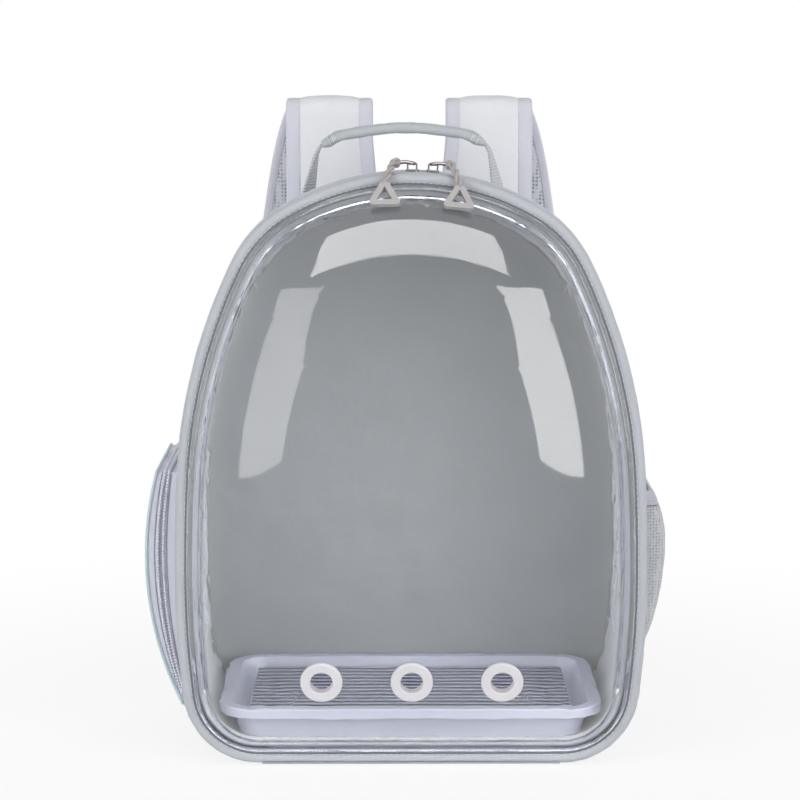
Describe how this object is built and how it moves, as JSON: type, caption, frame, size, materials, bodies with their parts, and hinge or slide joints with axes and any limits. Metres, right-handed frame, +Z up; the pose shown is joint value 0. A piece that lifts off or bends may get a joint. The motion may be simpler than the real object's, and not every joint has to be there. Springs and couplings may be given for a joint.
{
  "type": "bird carrier",
  "caption": "Backpack bird carrier: padded bag with a clear domed front door, vent eyelets, lift-out tray with wire grate, side hatch, mesh pouch, carry handle and shoulder straps.",
  "frame": {"origin": "centre of the flat base", "axes": "+Z up, +X to the right seen from the front, the domed door faces -Y"},
  "size_m": [0.3745, 0.2897, 0.467],
  "materials": {
    "shell_fabric": "satin",
    "bottom_fabric": "satin",
    "board_plastic": "matte",
    "floor_foam": "matte",
    "back_fabric": "matte",
    "pad_mesh": "matte",
    "piping": "satin",
    "clear_dome": "gloss",
    "edge_wire": "satin",
    "zip_tape": "matte",
    "zip_coil": "matte",
    "eyelet_plastic": "gloss",
    "slider_metal": "gloss",
    "pull_cord": "matte",
    "pull_plastic": "matte",
    "window_mesh": "matte",
    "hatch_fabric": "satin",
    "pouch_fabric": "matte",
    "elastic": "matte",
    "tray_plastic": "satin",
    "grate_wire": "gloss",
    "strap_fabric": "matte",
    "webbing": "matte",
    "lock_plastic": "satin",
    "grip_fabric": "satin"
  },
  "bodies": {
    "carrier": {"gusset_crown": "shell_fabric", "gusset_left": "shell_fabric", "gusset_right": "shell_fabric", "left_window_mesh": "window_mesh", "right_window_mesh": "window_mesh", "hinge_sleeve": "piping", "bottom_panel": "bottom_fabric", "base_board": "board_plastic", "floor_pad": "floor_foam", "body_zip_coil": "zip_coil", "body_zip_tape": "zip_tape", "hatch_base_wall": "hatch_fabric", "hatch_hinge_tape": "hatch_fabric", "pouch_mesh": "pouch_fabric", "pouch_hem": "elastic", "back_panel": "back_fabric", "rear_piping": "piping", "back_pad_left": "pad_mesh", "back_pad_right": "pad_mesh", "lumbar_pad": "pad_mesh", "strap_yoke": "back_fabric", "shoulder_strap_right": "strap_fabric", "shoulder_strap_left": "strap_fabric", "ladder_lock_right": "lock_plastic", "ladder_lock_left": "lock_plastic", "strap_webbing_right": "webbing", "strap_webbing_left": "webbing", "strap_tab_right": "webbing", "strap_tab_left": "webbing", "handle_patch_left": "webbing", "handle_patch_right": "webbing"},
    "door": {"dome": "clear_dome", "door_binding": "piping", "door_wire": "edge_wire", "door_band": "shell_fabric", "door_zip_tape": "zip_tape", "door_zip_coil": "zip_coil", "vent_ring_left": "eyelet_plastic", "vent_ring_middle": "eyelet_plastic", "vent_ring_right": "eyelet_plastic", "vent_washer_left": "eyelet_plastic", "vent_washer_middle": "eyelet_plastic", "vent_washer_right": "eyelet_plastic"},
    "slider_left": {"slider_left": "slider_metal"},
    "slider_right": {"slider_right": "slider_metal"},
    "pull_left": {"pull_loop_left": "pull_cord", "pull_tab_left": "pull_plastic"},
    "pull_right": {"pull_loop_right": "pull_cord", "pull_tab_right": "pull_plastic"},
    "hatch": {"hatch_cover": "hatch_fabric"},
    "hatch_slider": {"hatch_slider": "slider_metal"},
    "hatch_pull": {"hatch_pull": "slider_metal"},
    "tray": {"tray": "tray_plastic"},
    "grate": {"grate": "grate_wire", "grate_bar_left": "grate_wire", "grate_bar_middle": "grate_wire", "grate_bar_right": "grate_wire"},
    "handle": {"handle_webbing": "webbing", "handle_grip": "grip_fabric"}
  },
  "joints": [
    {"name": "door_hinge", "type": "hinge", "parent": "carrier", "child": "door", "pos_m": [0, -0.088, 0.0045], "axis": [1, 0, 0], "range_deg": [0, 45]},
    {"name": "slider_left_travel", "type": "hinge", "parent": "door", "child": "slider_left", "pos_m": [0, -0.0745, 0.242], "axis": [0, -1, 0], "range_deg": [0, 28]},
    {"name": "pull_left_swing", "type": "hinge", "parent": "slider_left", "child": "pull_left", "pos_m": [0.00064, -0.0745, 0.4249], "axis": [-1, 0, 0.0035], "range_deg": [0, 190]},
    {"name": "slider_right_travel", "type": "hinge", "parent": "door", "child": "slider_right", "pos_m": [0, -0.0745, 0.242], "axis": [0, 1, 0], "range_deg": [0, 23]},
    {"name": "pull_right_swing", "type": "hinge", "parent": "slider_right", "child": "pull_right", "pos_m": [0.0153, -0.0745, 0.42426], "axis": [-0.9965, 0, 0.0837], "range_deg": [0, 190]},
    {"name": "hatch_hinge", "type": "hinge", "parent": "carrier", "child": "hatch", "pos_m": [-0.15855, 0, 0.02764], "axis": [0, -1, 0], "range_deg": [0, 66]},
    {"name": "hatch_slider_travel", "type": "hinge", "parent": "hatch", "child": "hatch_slider", "pos_m": [0.16456, 0.062, 0.14377], "axis": [0, -1, 0], "range_deg": [0, 19.69]},
    {"name": "hatch_pull_swing", "type": "hinge", "parent": "hatch_slider", "child": "hatch_pull", "pos_m": [-0.1758, 0.0667, 0.189], "axis": [0.9913, 0, -0.1317], "range_deg": [0, 150]},
    {"name": "tray_lift", "type": "slide", "parent": "carrier", "child": "tray", "axis": [0, 0, 1], "range_m": [0, 0.06]},
    {"name": "grate_lift", "type": "slide", "parent": "tray", "child": "grate", "axis": [0, 0, 1], "range_m": [0, 0.06]},
    {"name": "handle_fold", "type": "hinge", "parent": "carrier", "child": "handle", "pos_m": [-0.0735, 0.01, 0.4071], "axis": [0.9995, 0, 0.0301], "range_deg": [-45, 50]}
  ]
}
